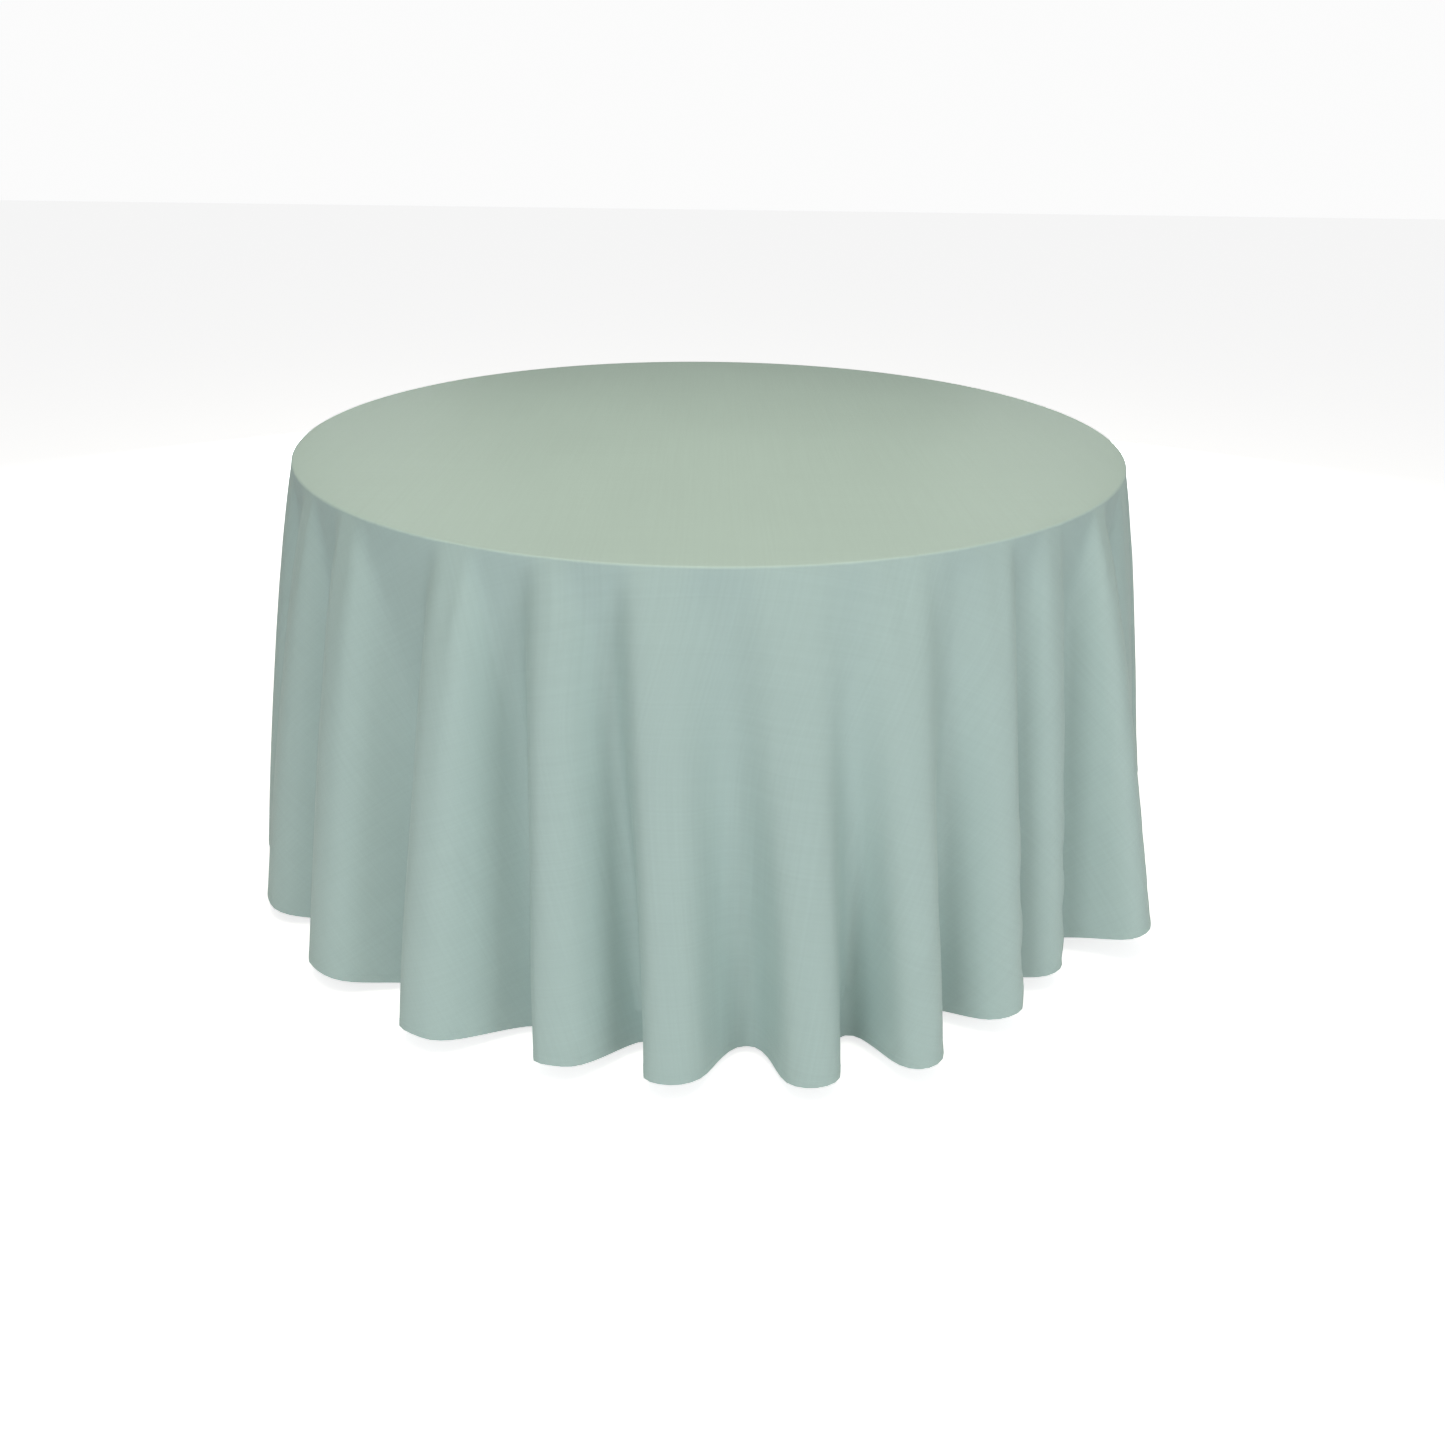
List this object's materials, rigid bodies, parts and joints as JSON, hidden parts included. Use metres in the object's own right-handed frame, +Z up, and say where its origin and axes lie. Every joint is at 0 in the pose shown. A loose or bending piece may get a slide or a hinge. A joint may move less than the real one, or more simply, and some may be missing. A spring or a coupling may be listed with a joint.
{
  "type": "clothed banquet table",
  "caption": "Round folding banquet table under a floor-length round polyester tablecloth in pale sea green, hanging in soft folds.",
  "frame": {"origin": "on the floor, under the middle of the round table top", "axes": "+Z up; -Y towards the front of the table, where the front leg frame stands; +X to the right seen from the front"},
  "size_m": [1.938, 1.9315, 0.7648],
  "materials": {
    "polyester": "smooth satin polyester, pale sea green",
    "plywood": "varnished birch plywood",
    "vinyl": "dark brown vinyl edge band",
    "runner_wood": "planed softwood",
    "steel": "dark grey powder coat",
    "zinc": "zinc plated",
    "rubber": "black rubber"
  },
  "bodies": {
    "table": {"plywood_top": "plywood", "edge_band": "vinyl", "runner_left": "runner_wood", "runner_right": "runner_wood", "runner_screw_left_front": "zinc", "runner_screw_left_back": "zinc", "runner_screw_right_front": "zinc", "runner_screw_right_back": "zinc", "hinge_bracket_front_left": "steel", "bracket_screw_front_left_1": "zinc", "bracket_screw_front_left_2": "zinc", "hinge_bracket_front_right": "steel", "bracket_screw_front_right_1": "zinc", "bracket_screw_front_right_2": "zinc", "brace_track_front": "zinc", "track_screw_front_1": "zinc", "track_screw_front_2": "zinc", "hinge_bracket_back_left": "steel", "bracket_screw_back_left_1": "zinc", "bracket_screw_back_left_2": "zinc", "hinge_bracket_back_right": "steel", "bracket_screw_back_right_1": "zinc", "bracket_screw_back_right_2": "zinc", "brace_track_back": "zinc", "track_screw_back_1": "zinc", "track_screw_back_2": "zinc"},
    "leg_frame_front": {"pivot_tube_front": "steel", "cross_rail_front": "steel", "leg_front_left": "steel", "foot_cap_front_left": "rubber", "brace_collar_front_left": "zinc", "leg_front_right": "steel", "foot_cap_front_right": "rubber", "brace_collar_front_right": "zinc"},
    "leg_frame_back": {"pivot_tube_back": "steel", "cross_rail_back": "steel", "leg_back_left": "steel", "foot_cap_back_left": "rubber", "brace_collar_back_left": "zinc", "leg_back_right": "steel", "foot_cap_back_right": "rubber", "brace_collar_back_right": "zinc"},
    "brace_body_front": {"brace_front": "steel", "brace_glide_pin_front": "zinc"},
    "brace_body_back": {"brace_back": "steel", "brace_glide_pin_back": "zinc"},
    "cloth": {"tablecloth": "polyester", "tablecloth_hem": "polyester"}
  },
  "joints": [
    {"name": "front_legs_fold", "type": "hinge", "parent": "table", "child": "leg_frame_front", "pos_m": [0, -0.47, 0.717], "axis": [1, 0, 0], "range_deg": [0, 94]},
    {"name": "front_brace_swing", "type": "hinge", "parent": "leg_frame_front", "child": "brace_body_front", "pos_m": [0, -0.48325, 0.52746], "axis": [1, 0, 0], "range_deg": [-130.44, 0]},
    {"name": "back_legs_fold", "type": "hinge", "parent": "table", "child": "leg_frame_back", "pos_m": [0, 0.47, 0.717], "axis": [-1, 0, 0], "range_deg": [0, 94]},
    {"name": "back_brace_swing", "type": "hinge", "parent": "leg_frame_back", "child": "brace_body_back", "pos_m": [0, 0.48325, 0.52746], "axis": [-1, 0, 0], "range_deg": [-130.44, 0]},
    {"name": "cloth_lift_off", "type": "slide", "parent": "table", "child": "cloth", "axis": [0, 0, 1], "range_m": [0, 0.85]}
  ],
  "couplings": [
    {"joint": "front_brace_swing", "follows": "front_legs_fold", "ratio": -1.3871},
    {"joint": "back_brace_swing", "follows": "back_legs_fold", "ratio": -1.3871}
  ]
}
